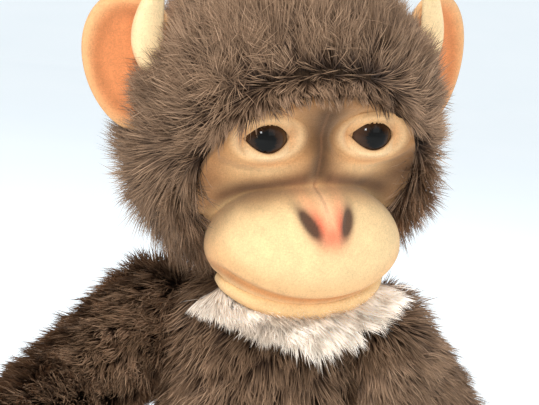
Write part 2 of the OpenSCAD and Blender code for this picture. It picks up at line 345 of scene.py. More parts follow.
def mohair(name, root, mid, tip, spread):
    """Pile: colour runs from root to tip, and each hair has its own shade from its pattern map. The
    near-black root end is painted shade deep in the pile.
    """
    m = Material(name)
    uv = m.node("ShaderNodeUVMap", {"uv_map": "OFBake"}, 0)
    shade = m.node("ShaderNodeSeparateXYZ", {}, "X", uv)
    along = m.node("ShaderNodeSeparateXYZ", {}, "Y", uv)
    # dark root colour: painted shade deep in the pile, for the brown and the white pile
    colour = m.ramp(along, (0.0, root), (0.42, mid), (0.8, tip), (1.0, tip))
    warm = m.ramp(shade, (0.0, (0.62, 0.5, 0.4)), (0.45, (1, 0.93, 0.84)), (1.0, (1.5, 1.5, 1.5)))
    colour = m.mix(1.0, colour, warm, "MULTIPLY")
    colour = m.tint(colour, shade * spread + (1 - spread * 0.5))
    return m.set(Base_Color=colour, Roughness=0.62, Specular_IOR_Level=0.35)


def cloth_under_pile(name, low, high):
    """Woven backing and the roots of the pile: dark as painted shade under the hairs, streaked and rough.
    """
    m = Material(name)
    at = m.place()
    streak = m.noise(m.stretched(at, (1, 1, 0.35)), 900, 4)
    blotch = m.noise(at, 60, 3)
    colour = m.ramp(streak * 0.7 + blotch * 0.3, (0.3, low), (0.7, high))
    return m.set(Base_Color=colour, Roughness=0.95, Specular_IOR_Level=0.1,
                 Normal=m.bump(streak, 0.9, 0.002))


def felt_grain(m):
    """Height of matted fibres: short crossing streaks over a fine nap."""
    at = m.place()
    a = m.noise(m.stretched(at, (1, 0.3, 0.5)), 2600, 3, 0.7)
    b = m.noise(m.stretched(at, (0.4, 1, 1.3)), 2200, 3, 0.7)
    nap = m.noise(at, 5200, 2, 0.6)
    return a * 0.4 + b * 0.35 + nap * 0.25


def painted_felt(name):
    """Cream felt with airbrushed colour and painted shade from the mesh's paint, mottled fibre by fibre."""
    m = Material(name)
    paint = m.node("ShaderNodeVertexColor", {"layer_name": "paint"}, "Color")
    grain = felt_grain(m)
    soft = m.noise(m.place(), 240, 3)
    colour = m.tint(paint, grain * 1.4 + soft * 0.3 + 0.16)
    return m.set(Base_Color=colour, Roughness=0.92, Specular_IOR_Level=0.15, Sheen_Weight=0.25,
                 Sheen_Roughness=0.6, Sheen_Tint=(1.0, 0.85, 0.65),
                 Normal=m.bump(grain, 0.55, 0.0006))


def plain_felt(name, low, high):
    """Tan felt for hands and feet, rubbed paler here and there."""
    m = Material(name)
    grain = felt_grain(m)
    soft = m.noise(m.place(), 90, 4)
    colour = m.ramp(soft, (0.3, low), (0.7, high))
    colour = m.tint(colour, grain * 0.75 + 0.62)
    return m.set(Base_Color=colour, Roughness=0.92, Specular_IOR_Level=0.15, Sheen_Weight=0.25,
                 Sheen_Roughness=0.6, Normal=m.bump(grain, 0.55, 0.0006))


def eye_glass():
    """Glass eye: black pupil, streaked brown iris, dark rim, clear gloss over all."""
    m = Material("eye_glass_streaked")
    uv = m.node("ShaderNodeUVMap", {"uv_map": "Pattern"}, 0)
    out = m.node("ShaderNodeSeparateXYZ", {}, "Y", uv)
    streaks = m.noise(m.stretched(uv, (60, 5, 1)), 1.0, 4)
    iris = m.ramp(out + streaks * 0.1, (0.17, (0.002, 0.0015, 0.001)), (0.2, (0.028, 0.012, 0.005)),
                  (0.33, (0.075, 0.033, 0.014)), (0.43, (0.02, 0.009, 0.004)))
    rim = m.ramp(out, (0.42, (1, 1, 1)), (0.5, (0.15, 0.12, 0.1)))
    colour = m.mix(1.0, iris, rim, "MULTIPLY")
    return m.set(Base_Color=colour, Roughness=0.04, Coat_Weight=0.5, Coat_Roughness=0.01,
                 Coat_IOR=1.4, Specular_IOR_Level=0.0)


def wood_wool():
    """Pale curled shavings that the doll is stuffed with."""
    m = Material("wood_wool_curls")
    curls = m.noise(m.stretched(m.place(), (1, 1, 3)), 420, 5, 0.7)
    colour = m.ramp(curls, (0.3, (0.28, 0.18, 0.08)), (0.7, (0.68, 0.52, 0.3)))
    return m.set(Base_Color=colour, Roughness=0.85, Normal=m.bump(curls, 0.8, 0.002))


def fibreboard():
    """Brown pressed board of the joint discs."""
    m = Material("fibreboard_pressed")
    flecks = m.noise(m.place(), 900, 5, 0.7)
    colour = m.ramp(flecks, (0.35, (0.16, 0.085, 0.04)), (0.65, (0.34, 0.2, 0.1)))
    return m.set(Base_Color=colour, Roughness=0.8, Normal=m.bump(flecks, 0.4, 0.0005))


def steel_wire():
    """Drawn steel of the pins, shanks and washers."""
    m = Material("steel_drawn")
    lines = m.noise(m.stretched(m.place(), (1, 1, 0.1)), 2500, 3)
    colour = m.ramp(lines, (0.3, (0.36, 0.36, 0.37)), (0.7, (0.62, 0.62, 0.63)))
    return m.set(Base_Color=colour, Roughness=lines * 0.25 + 0.25, Metallic=1.0)


BROWN = mohair("mohair_brown_pile", (0.010, 0.005, 0.003), (0.085, 0.047, 0.027),
               (0.30, 0.19, 0.118), 1.0)
WHITE = mohair("mohair_white_pile", (0.36, 0.27, 0.21), (0.80, 0.74, 0.68), (0.98, 0.95, 0.91), 0.4)
# backing colours are painted shade under the brown and the white pile
SHADED_BACKING = cloth_under_pile("mohair_backing_painted_shade", (0.012, 0.007, 0.004), (0.06, 0.035, 0.02))
SHADED_CHIN_BACKING = cloth_under_pile("chin_backing_painted_shade", (0.25, 0.19, 0.15), (0.6, 0.53, 0.47))
FACE_FELT = painted_felt("face_felt_airbrush_and_painted_shade")
HAND_FELT = plain_felt("hand_felt", (0.62, 0.33, 0.15), (0.84, 0.52, 0.27))


# ---------- pile ----------

def scatter(grid, count, rng, weight=None):
    """Random points on a grid surface, as many to each cell as its area earns. Returns the points,
    their unit normals and the direction of the grid's columns."""
    a, b = grid[:-1, :-1], grid[1:, :-1]
    c, d = grid[1:, 1:], grid[:-1, 1:]
    normal = np.cross(c - a, d - b)
    area = np.linalg.norm(normal, axis=-1)
    if weight is not None:
        area = area * weight((a + b + c + d) / 4)
    area = area.ravel()
    pick = rng.choice(len(area), count, p=area / area.sum())
    i, j = np.unravel_index(pick, normal.shape[:2])
    s, t = rng.random((2, count, 1))
    p = (a[i, j] * (1 - s) + b[i, j] * s) * (1 - t) + (d[i, j] * (1 - s) + c[i, j] * s) * t
    return p, unit(normal[i, j]), unit(d[i, j] - a[i, j])


def hairs(name, place, body, material, roots, normals, comb, length, width, rng, stand, lock,
          curl=0.10, shade=0.5, patch=22, seed=31):
    """Pile as flat tapering blades of five faces. Each bends from standing on the cloth towards the
    comb direction along a quadratic curve, and tips in one lock lean together."""
    n = len(roots)
    lock_dir = np.stack([cell_noise(roots, lock, s) - 0.5 for s in (1, 2, 3)], axis=1)
    wisp_dir = np.stack([cell_noise(roots + 1.3, lock * 0.45, s) - 0.5 for s in (4, 5, 6)], axis=1)
    flow = np.stack([waves(roots, 16, s) for s in (7, 8, 9)], axis=1)
    comb = unit(comb + flow * 0.30 + lock_dir * 0.6 + wisp_dir * 0.4 + rng.normal(0, curl, (n, 3)))
    comb = unit(comb - normals * np.sum(comb * normals, 1, keepdims=True))
    stand = np.clip(stand + lock_dir[:, :1] * 0.45 + rng.normal(0, 0.10, (n, 1)), 0.05, 1.2)
    start = unit(normals * (stand + 0.35) + comb)
    end = unit(normals * (stand * 0.75) + comb + rng.normal(0, curl, (n, 3)))
    length = (length * rng.uniform(0.72, 1.1, n) * (0.85 + 0.3 * cell_noise(roots, lock, 11)))[:, None]
    centre = (np.floor(roots / lock) + 0.5) * lock + lock_dir * lock * 0.6
    pull = (centre - roots)
    pull = pull - normals * np.sum(pull * normals, 1, keepdims=True)
    p0 = roots - normals * 0.8
    p1 = roots + start * length * 0.5
    p2 = p1 + end * length * 0.55 + pull * 0.55
    side = unit(np.cross(end, normals) + rng.normal(0, 0.35, (n, 3)))
    half = side * (width * rng.uniform(0.7, 1.25, n) / 2)[:, None]
    rows = []
    for t, w in ((0, 1.0), (0.38, 0.95), (0.72, 0.62)):
        mid = p0 * (1 - t) ** 2 + p1 * 2 * t * (1 - t) + p2 * t * t
        rows += [mid - half * w, mid + half * w]
    rows.append(p2)
    verts = place.out(np.stack(rows, axis=1)).reshape(-1, 3)
    pattern = np.array([[0, 1, 3, 2], [2, 3, 5, 4]])
    if place.mirrored:
        pattern = pattern[:, ::-1]
    tip = np.array([4, 5, 6])[::-1 if place.mirrored else 1]
    base = (np.arange(n) * 7)[:, None]
    loops = np.concatenate([base + pattern[0], base + pattern[1], base + tip], axis=1).ravel()
    totals = np.tile([4, 4, 3], n)
    mesh = bpy.data.meshes.new(name)
    mesh.vertices.add(len(verts))
    mesh.vertices.foreach_set("co", verts.astype(np.float32).ravel())
    mesh.loops.add(len(loops))
    mesh.loops.foreach_set("vertex_index", loops.astype(np.int32))
    mesh.polygons.add(len(totals))
    mesh.polygons.foreach_set("loop_start", np.concatenate([[0], np.cumsum(totals)[:-1]]).astype(np.int32))
    mesh.polygons.foreach_set("use_smooth", np.ones(len(totals), bool))
    shade = shade + waves(roots, patch, seed) * 0.12 + (cell_noise(roots, lock, 12) - 0.5) * 0.34
    shade = np.clip(shade + rng.normal(0, 0.13, n), 0.02, 0.98)
    along = np.array([0, 0, 0.38, 0.38, 0.72, 0.72, 1.0])
    uv = np.stack([np.repeat(shade, 7), np.tile(along, n)], axis=1)[loops]
    layer = mesh.uv_layers.new(name="OFBake")
    layer.data.foreach_set("uv", uv.astype(np.float32).ravel())
    mesh.update(calc_edges=True)
    mesh.validate()
    return new_object(name, mesh, material, body)


def pelt(name, place, body, grid, count, comb, length, width, stand, lock, parts=1, weight=None):
    """Pile all over a grid surface, in as many pieces as keep each one small."""
    rng = np.random.default_rng(SEED + len(name) * 7 + count)
    roots, normals, along = scatter(grid, count, rng, weight)
    direction = comb(roots, normals, along)
    stand = stand(roots) if callable(stand) else np.full(count, float(stand))
    size = length(roots) if callable(length) else np.full(count, float(length))
    # in order of height where it is cut up, so that each piece is a band and not a mix
    order = np.argsort(roots[:, 2] if parts > 1 else roots[:, 0], kind="stable")
    for k, part in enumerate(np.array_split(order, parts)):
        hairs(f"{name}_pile_{k + 1}", place, body, BROWN, roots[part], normals[part],
              direction[part], size[part], width, rng, stand[part, None], lock)


# ---------- head ----------

def face_axis():
    """Direction, in the face frame, that the face's flat looks along."""
    a = math.radians(FACE_TIP)
    return np.array([0, -math.cos(a), -math.sin(a)])


def head_grid(rows=96, cols=72):
    """Ball of HEAD_R pressed flat behind the face and at the neck. Rows go round the up axis and
    columns from the bottom pole to the top pole."""
    around = np.linspace(0, 2 * math.pi, rows + 1)[:, None]
    rise = np.linspace(-math.pi / 2, math.pi / 2, cols)[None, :]
    ball = np.stack([np.cos(around) * np.cos(rise), np.sin(around) * np.cos(rise),
                     np.ones_like(around) * np.sin(rise)], axis=-1) * HEAD_R
    low = 1 - ease(ball[..., 2:], -30, 5)
    ball = ball * (1 + 0.09 * low * np.array([1, 0.6, 0.4]))
    m = face_axis()
    over = np.maximum(ball @ m - (FACE_FLAT - 1.5), 0)
    ball = ball - over[..., None] * m
    aside = np.linalg.norm(ball - (ball @ m)[..., None] * m, axis=-1)
    dish = 9.0 * (1 - ease(aside, 29, 34)) * (over > 0)
    ball = ball - dish[..., None] * m
    neck = turn("x", FACE_LIFT) @ np.array([0, 0, -1.0])
    over = np.maximum(ball @ neck - (HEAD_LIFT - 1.0), 0)
    return ball - over[..., None] * neck


def head_comb(roots, normals, along):
    """Away from the face all over the head, and down over the brow at the forehead's edge."""
    away = roots - np.array([0, -26.0, -4.0])
    away = away * np.array([1, 1, 1.15])
    edge = roots @ face_axis()
    fringe = ease(edge, 17, 24) * ease(roots[:, 2], -2, 14)
    fringe = fringe[:, None]
    cheek = (ease(edge, 14, 24) * (1 - ease(roots[:, 2], -14, 10)))[:, None]
    side = np.sign(roots[:, :1])
    sweep = np.concatenate([side * -0.10, np.full((len(roots), 1), -0.75),
                            np.full((len(roots), 1), -0.65)], axis=1)
    drop = np.array([0, -0.55, -0.85]) + roots * np.array([0.012, 0, 0])
    flow = unit(away) * (1 - fringe) + drop * fringe * 1.2
    flow = unit(flow) * (1 - cheek * 0.75) + sweep * cheek * 0.75
    low = (1 - ease(roots[:, 2], -34, -8))[:, None]
    return unit(flow + np.array([0, 0, -0.9]) * low)


def head_length(roots):
    """Short at the face's edge, full elsewhere."""
    edge = roots @ face_axis()
    top = ease(roots[:, 2], 0, 16)
    cheek = 1 - ease(roots[:, 2], -20, 5)
    return PILE * (1.3 + 0.25 * cheek) * (1 - ease(edge, 12, 24) * (0.30 + 0.30 * top))


def make_head():
    """Ball of backing cloth, with pile that leaves the face bare and thins out at the neck."""
    grid = head_grid()
    mesh = sheet_mesh("head_cloth", FACE.out(grid))
    weld(mesh)
    cloth = new_object("head_cloth", mesh, SHADED_BACKING, "head")
    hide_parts("head_skin", "head_stuffing")

    def weight(p):
        edge = p @ face_axis()
        neck = turn("x", FACE_LIFT) @ np.array([0, 0, -1.0])
        aside = np.linalg.norm(p - edge[..., None] * face_axis(), axis=-1)
        return ((edge < 5) | (aside > 35.2)) * (1 - 0.85 * ease(p @ neck, 39, 41))

    pelt("head", FACE, "head", grid, 112000, head_comb, head_length, width=0.31, parts=4,
         weight=weight, stand=lambda p: 0.42 + 0.2 * ease(p @ face_axis(), 13, 23), lock=3.2)


# ---------- face ----------

FACE_EYE = np.array([0.0, 6.0, -20.0])     # the point that the face's shape is measured from: x, ahead, up


def exits(d, centre, radii):
    """Distance from the face's inner point, along each direction, to an ellipsoid round it."""
    o = (FACE_EYE - np.array(centre)) / np.array(radii)
    e = d / np.array(radii)
    a = np.sum(e * e, -1)
    b = np.sum(e * o, -1)
    c = np.sum(o * o) - 1
    return (-b + np.sqrt(np.maximum(b * b - a * c, 0))) / a


def blend_max(a, b, soft):
    """The larger of two values, rounded where they cross."""
    h = np.clip(0.5 + 0.5 * (a - b) / soft, 0, 1)
    return b * (1 - h) + a * h + soft * h * (1 - h)


def mouth_line(x):
    """Height of the mouth's line at x: a shallow U."""
    return -49.0 + 9.0 * np.abs(x / 29.0) ** 2.2


def face_surface(around, rise):
    """Felt face as (x, ahead, up): brow and muzzle ellipsoids blended, then pressed in and out at
    the sockets, bridge, nose and mouth. around and rise are angles from straight ahead."""
    d = np.stack([np.sin(around) * np.cos(rise), np.cos(around) * np.cos(rise), np.sin(rise)], -1)
    brow = exits(d, (0, 8, -1), (35.5, 26, 23))
    muzzle = exits(d, (0, 20.5, -35), (30.8, 24.5, 20.5))
    tip = math.radians(FACE_TIP)
    clear = FACE_FLAT + 0.6 - FACE_EYE[1] * math.cos(tip) + FACE_EYE[2] * math.sin(tip)
    toward = d[..., 1] * math.cos(tip) - d[..., 2] * math.sin(tip)
    axis = face_axis() * np.array([1, -1, 1])
    out_o = FACE_EYE - axis * (FACE_EYE @ axis)
    out_d = d - axis * toward[..., None]
    a, b = np.sum(out_d * out_d, -1), out_d @ out_o
    cap = (-b + np.sqrt(b * b + a * (34.8 ** 2 - out_o @ out_o))) / np.maximum(a, 1e-6)
    flat = np.minimum(clear / np.maximum(toward, 0.05), cap)
    p = FACE_EYE + d * blend_max(blend_max(brow, muzzle, 3.0), flat, 3.0)[..., None]
    x, up = p[..., 0], p[..., 2]
    side = np.abs(x)
    push = -2.2 * bell(side - EYE_X, 9.5) * bell(up + 0.5, 7.5)
    push = push - 3.6 * ease(up, -1, 8) * (1 - ease(up, 11, 15.5)) * (1 - ease(side, 25, 32))
    push = push - 1.9 * bell(x, 2.6) * ease(up, -19, -13) * (1 - ease(up, 8, 16))
    push = push + 1.2 * bell(side - 5.5, 3.5) * bell(up - 7, 8)
    push = push + 1.7 * bell(x, 7.5) * bell(up + 23, 8)
    slot_x, slot_z = nostril_frame(side, up)
    push = push - 1.3 * bell(slot_x, 1.7) * bell(slot_z, 3.6)
    push = push - 0.45 * bell(x, 0.7) * ease(up, -26, -22) * (1 - ease(up, -15, -12))
    line = mouth_line(x)
    inside = 1 - ease(side, 27, 31)
    push = push - 2.0 * bell(up - line, 1.5) * inside
    push = push - 1.5 * ease(line - up, 0, 3) * inside
    out = p - np.array([0, 12.0, -24.0])
    p = p + unit(out * np.array([1, 1, 0.8])) * push[..., None]
    ring, ahead = lid_relief(np.abs(p[..., 0]) - EYE_X, p[..., 2])
    hold = (1 - ease(ring, 1.75, 2.6)) * ease(p[..., 1], 10, 20)
    under = 0.9 * (1 - ease(ring, 1.6, 1.85)) + 0.5 * bell(ring - 1.95, 0.12)
    p[..., 1] = p[..., 1] * (1 - hold) + (EYE_F + ahead - under) * hold
    return p


def lid_relief(dx, up):
    """Ring number (1 at the lid's edge, growing outwards) and distance ahead of the eye's middle of
    the lid's surface: on the glass at the edge, over a roll, then out to the face."""
    ring = np.sqrt((dx / LID_WIDE) ** 2 + ((up - 0.2) / LID_HIGH) ** 2)
    ball = np.sqrt(np.maximum((EYE_R + 0.5) ** 2 - dx ** 2 - (up - 0.2) ** 2, 4.0))
    out = ease(ring, 1.0, 1.8)
    rest = 4.6 + 0.35 * np.maximum(up, 0)
    return ring, ball * (1 - out) + rest * out + 1.7 * bell(ring - 1.40, 0.27)


def nostril_frame(side, up):
    """Distances across and along the nostril's slanted slit."""
    a = math.radians(29)
    dx, dz = side - 5.9, up + 24.0
    return dx * math.cos(a) - dz * math.sin(a), dx * math.sin(a) + dz * math.cos(a)


def face_paint(p):
    """Airbrushed colours of the felt at points (x, ahead, up), in linear red, green, blue, with painted
    shade under the fringe, in the crease above the lids and beside the muzzle.
    """
    x, up = p[..., 0], p[..., 2]
    side = np.abs(x)
    colour = np.ones(p.shape) * np.array([0.88, 0.60, 0.30])

    def lay(target, mask):
        nonlocal colour
        mask = np.clip(mask, 0, 1)[..., None]
        colour = colour * (1 - mask) + np.array(target) * mask

    flow = waves(p, 9, 41) * 0.5
    upper = ease(up, -22, -12)
    lay((0.70, 0.36, 0.145), upper * 0.85)
    lay((0.40, 0.175, 0.062), upper * ease(side, 22, 32) * 0.85)
    # painted shade under the overhanging fringe: darker towards the top of the face
    lay((0.36, 0.16, 0.058), ease(up, 5, 12) * 0.85)
    lay((0.93, 0.63, 0.32), bell(side - EYE_X + 0.5, 8.5) * bell(up + 9.5, 3.2) * 0.6)
    # brown bands: down the bridge, over the muzzle's top and out to the temples
    ridge = -12.4 - 0.09 * side ** 1.35 + flow
    lay((0.15, 0.06, 0.023), bell(up - ridge - 0.6, 3.0 + side * 0.04) * ease(side, 0, 4) * 0.92)
    lay((0.30, 0.13, 0.05), bell(x, 9.5) * ease(up, -15, -8) * (1 - ease(up, 6, 14)) * 0.6)
    lay((0.070, 0.030, 0.012), bell(x + flow, 4.0 + 0.15 * np.maximum(up + 6, 0)) * ease(up, -17, -11)
        * (1 - ease(up, 8, 15)) * 0.95)
    # painted shade beside the muzzle: broad over the left side, which is turned away from the key light,
    # and a narrow band at the right edge
    lay((0.12, 0.055, 0.025), ease(x, 17, 30) * bell(up + 15, 11) * 0.85)
    lay((0.25, 0.10, 0.038), ease(-x, 22, 33) * bell(up + 18, 6) * 0.7)
    # painted shade in the crease above the lids
    lay((0.35, 0.15, 0.06), bell(side - EYE_X, 10) * bell(up - 9.5, 1.6) * 0.35)
    lay((0.62, 0.27, 0.10), bell(side - EYE_X, 9) * bell(up + 7.8 - 0.012 * (side - EYE_X) ** 2, 1.3) * 0.7)
    lay((0.20, 0.09, 0.04), bell(x + flow * 0.3, 0.42) * ease(up, -24, -20) * (1 - ease(up, 6, 12)) * 0.6)
    # nose: red between two dark slits
    slot_x, slot_z = nostril_frame(side, up)
    red = bell(side - 2.6 - 0.22 * (up + 27), 3.0) * bell(up + 24.5, 5.6)
    lay((0.93, 0.17, 0.085), np.maximum(red, bell(side, 4.5) * bell(up + 27, 4.2)) * 0.9)
    lay((0.97, 0.52, 0.30), bell(side, 1.8) * bell(up + 20, 4.0) * 0.55)
    lay((0.075, 0.035, 0.022), np.clip(1.7 * bell(slot_x, 1.9) * bell(slot_z, 4.6), 0, 1) * 0.96)
    # mouth: orange brown shade in and above the line, deeper to the corners
    line = mouth_line(x)
    lay((0.84, 0.42, 0.17), bell(up - line - 3.5, 4.5) * 0.55)
    lay((0.66, 0.25, 0.075), bell(up - line - 0.5, 1.6) * 0.85)
    lay((0.80, 0.42, 0.18), ease(side, 24, 31) * (1 - upper) * 0.45)
    lay((0.35, 0.14, 0.05), bell(up - line, 1.0) * ease(side, 18, 29) * 0.5)
    lay((0.72, 0.40, 0.18), ease(line - up, 1.0, 5.0) * 0.5)
    return colour


def ahead_to_face(p):
    """(x, ahead, up) to the face frame's (x, y, z), whose y runs backwards."""
    return p * np.array([1, -1, 1])


def make_face():
    """Felt face in one sheet, painted, with the lip, eyes, lids and ears that are set in it."""
    rows, cols = 230, 230
    around = np.linspace(-1.72, 1.72, rows)[:, None] * np.ones((1, cols))
    rise = np.linspace(-1.25, 1.30, cols)[None, :] * np.ones((rows, 1))
    shape = face_surface(around, rise)
    mesh = sheet_mesh("face_felt", FACE.out(ahead_to_face(shape)))
    colour_layer(mesh, "paint", face_paint(shape).reshape(-1, 3))
    face = new_object("face_felt", mesh, FACE_FELT, "head")
    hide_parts("face_mask")
    make_lip()
    for name, sign in (("left", 1), ("right", -1)):
        make_eye(name, sign)
        make_lids(name, sign)
        make_ear(name, sign)


def on_face(x, up, lift=0.0):
    """Points of the face's surface at given x and height, found by walking the two angles."""
    x, up = np.asarray(x, float), np.asarray(up, float)
    around, rise = np.zeros_like(x), np.zeros_like(x)
    for _ in range(30):
        p = face_surface(around, rise)
        reach = np.maximum(np.linalg.norm(p - FACE_EYE, axis=-1), 5)
        around = np.clip(around + (x - p[..., 0]) / reach * 0.8, -1.6, 1.6)
        rise = np.clip(rise + (up - p[..., 2]) / reach * 0.8, -1.3, 1.2)
    out = unit(p - np.array([0, 12.0, -24.0]))
    return p + out * lift


def tube(path, radius, sides=20):
    """Rows of points round a path, closed to a point at both ends. radius is one number a point."""
    ahead = unit(np.gradient(path, axis=0))
    side = unit(np.cross(ahead, np.array([0.13, 0.21, 1.0])))
    top = np.cross(side, ahead)
    a = np.linspace(0, 2 * math.pi, sides, endpoint=False)[:, None, None]
    return path + (np.cos(a) * side + np.sin(a) * top) * radius[:, None]


def make_lip():
    """Rolled felt lower lip, thickest in the middle and run out at the corners."""
    x = np.linspace(-29.5, 29.5, 90)
    path = on_face(x, mouth_line(x) - 3.1, 0.9)
    radius = 3.5 * np.sqrt(np.clip(1 - (x / 29.6) ** 4, 0, 1)) * (0.72 + 0.28 * bell(x, 20))
    grid = tube(path, radius, 24)
    mesh = sheet_mesh("lip_felt", FACE.out(ahead_to_face(grid)), around=True)
    line = mouth_line(grid[..., 0])
    colour = np.ones(grid.shape) * np.array([0.86, 0.56, 0.27])
    edge = ease(grid[..., 2] - line, -2.4, -0.3)[..., None] * 0.75
    # darker underside of the roll: painted shade under the lip
    low = (1 - ease(grid[..., 2] - line, -6.5, -4.5))[..., None] * 0.5
    colour = colour * (1 - edge) + np.array([0.62, 0.26, 0.09]) * edge
    colour = colour * (1 - low) + np.array([0.62, 0.33, 0.14]) * low
    colour_layer(mesh, "paint", colour.reshape(-1, 3))
    weld(mesh)
    lip = new_object("lip_felt", mesh, FACE_FELT, "head")
    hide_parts("lower_lip")


def eye_middle(sign):
    """Centre of an eye, as (x, ahead, up). sign is 1 on the left and -1 on the right."""
    return np.array([sign * EYE_X, EYE_F, 0.0])


def make_eye(name, sign):
    """Glass ball with its pattern running out from the pupil, which looks a little outwards."""
    look = unit(np.array([sign * 0.10 - 0.06, 1.0, -0.05]))
    side = unit(np.cross(look, np.array([0, 0, 1.0])))
    top = np.cross(side, look)
    a = np.linspace(0, 2 * math.pi, 65)[:, None]
    b = np.linspace(0, math.pi, 48)[None, :]
    ball = (np.cos(b)[..., None] * look + (np.sin(b) * np.cos(a))[..., None] * side
            + (np.sin(b) * np.sin(a))[..., None] * top)
    grid = eye_middle(sign) + ball * EYE_R
    uv = np.stack([a / (2 * math.pi) + b * 0, b / math.pi + a * 0], axis=-1)
    mesh = sheet_mesh(f"eye_{name}_glass", FACE.out(ahead_to_face(grid)), uv=uv)
    weld(mesh)
    eye = new_object(f"eye_{name}_glass", mesh, GLASS, "head")
    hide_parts(f"eye_{name}")


def make_lids(name, sign):
    """Felt lid round an almond opening: a grid from the socket, over a roll, to the edge on the glass."""
    a = np.linspace(0, 2 * math.pi, 145)[:-1][:, None]
    t = np.linspace(0, 1, 26)[None, :]
    cos, sin = np.cos(a), np.sin(a)
    ring = 1.86 - 0.86 * t
    point = np.abs(sin) ** (0.9 * ease(t, 0.3, 1.0)) * sin
    x = LID_WIDE * ring * cos
    z = LID_HIGH * ring * point + 0.2
    centre = eye_middle(sign)
    depth = lid_relief(x, z)[1] - 0.5 * ease(t, 0.94, 1.0) - 0.35 * (1 - ease(t, 0, 0.12))
    grid = np.stack([centre[0] + x, centre[1] + depth, centre[2] + z], axis=-1)
    mesh = sheet_mesh(f"lid_{name}", FACE.out(ahead_to_face(grid)), around=True)
    pale = np.array([0.88, 0.58, 0.31])
    base = face_paint(np.stack([centre[0] + x, depth * 0, centre[2] + z], -1))
    blend = (bell(t - 0.60, 0.30) * (0.72 - 0.3 * sin))[..., None]
    colour = base * (1 - blend) + pale * blend
    # painted shade at the lid's edge, where it tucks against the glass
    dark = (ease(t, 0.9, 1.0) + a * 0)[..., None] * 0.55
    colour = colour * (1 - dark) + np.array([0.35, 0.16, 0.07]) * dark
    colour_layer(mesh, "paint", colour.reshape(-1, 3))
    lid = new_object(f"lid_{name}", mesh, FACE_FELT, "head")
    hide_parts("eyelids")


def make_ear(name, sign):
    """Cupped felt ear: an egg outline, hollowed, its rim curled in, with a paler folded flap."""
    a = np.linspace(0, 2 * math.pi, 97)[:-1][:, None]
    t = np.linspace(0, 1, 30)[None, :]
    cos, sin = np.cos(a), np.sin(a)
    x = 14.5 * cos * (1 + 0.10 * sin) * t
    z = 21.0 * sin * t
    cup = 7.5 * t ** 2.2 - 2.6 * ease(t, 0.86, 1.0)
    grid = np.stack([x, -cup + 0 * x, z], axis=-1)
    spin = turn("z", 24) @ turn("y", 7)
    at = np.array([48.0, 3.0, 19.0])
    grid = (grid @ spin.T + at) * np.array([sign, 1, 1])
    mesh = sheet_mesh(f"ear_{name}_felt", FACE.out(grid), around=True)
    weld(mesh, 1e-6)
    local = FACE.into(np.array([v.co[:] for v in mesh.vertices])) * np.array([sign, 1, 1])
    local = (local - at) @ spin
    reach = np.hypot(local[:, 0] / 14.5, local[:, 2] / 21.0)[:, None]
    colour = np.ones((len(local), 3)) * np.array([0.86, 0.31, 0.115])
    rim = ease(reach, 0.72, 0.98)
    colour = colour * (1 - rim) + np.array([0.80, 0.43, 0.19]) * rim
    groove = bell(reach - 0.72, 0.10) * 0.45
    colour = colour * (1 - groove) + np.array([0.50, 0.18, 0.065]) * groove
    inner = (1 - ease(local[:, :1], -12, -3)) * 0.6
    colour = colour * (1 - inner) + np.array([0.9, 0.55, 0.27]) * inner
    colour_layer(mesh, "paint", colour)
    ear = new_object(f"ear_{name}_felt", mesh, FACE_FELT, "head")
    wall = ear.modifiers.new("wall", "SOLIDIFY")
    wall.thickness = 1.8 * MM
    wall.offset = 0
    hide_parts(f"ear_{name}")
    make_ear_flap(name, sign, spin, at)


def make_ear_flap(name, sign, spin, at):
    """Folded edge of the ear beside the head, laid over the hollow from top to bottom."""
    s = np.linspace(0, 1, 40)[:, None]
    t = np.linspace(0, 1, 14)[None, :]
    z = 20.5 - 31.0 * s + 0 * t
    width = 9.0 * np.sin(math.pi * (0.12 + 0.80 * s)) ** 0.8
    x = -14.0 + 3.0 * bell(s - 0.5, 0.6) + width * t
    y = -7.5 + 1.2 * t - 4.0 * np.sin(math.pi * t * 0.75) + 3.0 * bell(s - 1, 0.3)
    grid = np.stack(np.broadcast_arrays(x, y, z), axis=-1)
    grid = (grid @ spin.T + at) * np.array([sign, 1, 1])
    mesh = sheet_mesh(f"ear_{name}_fold", FACE.out(grid))
    colour = np.ones(grid.shape) * np.array([0.95, 0.68, 0.37])
    edge = (ease(t, 0.75, 1.0) + s * 0)[..., None] * 0.5
    colour = colour * (1 - edge) + np.array([0.85, 0.45, 0.2]) * edge
    colour_layer(mesh, "paint", colour.reshape(-1, 3))
    fold = new_object(f"ear_{name}_fold", mesh, FACE_FELT, "head")
    wall = fold.modifiers.new("wall", "SOLIDIFY")
    wall.thickness = 1.3 * MM
    wall.offset = 0


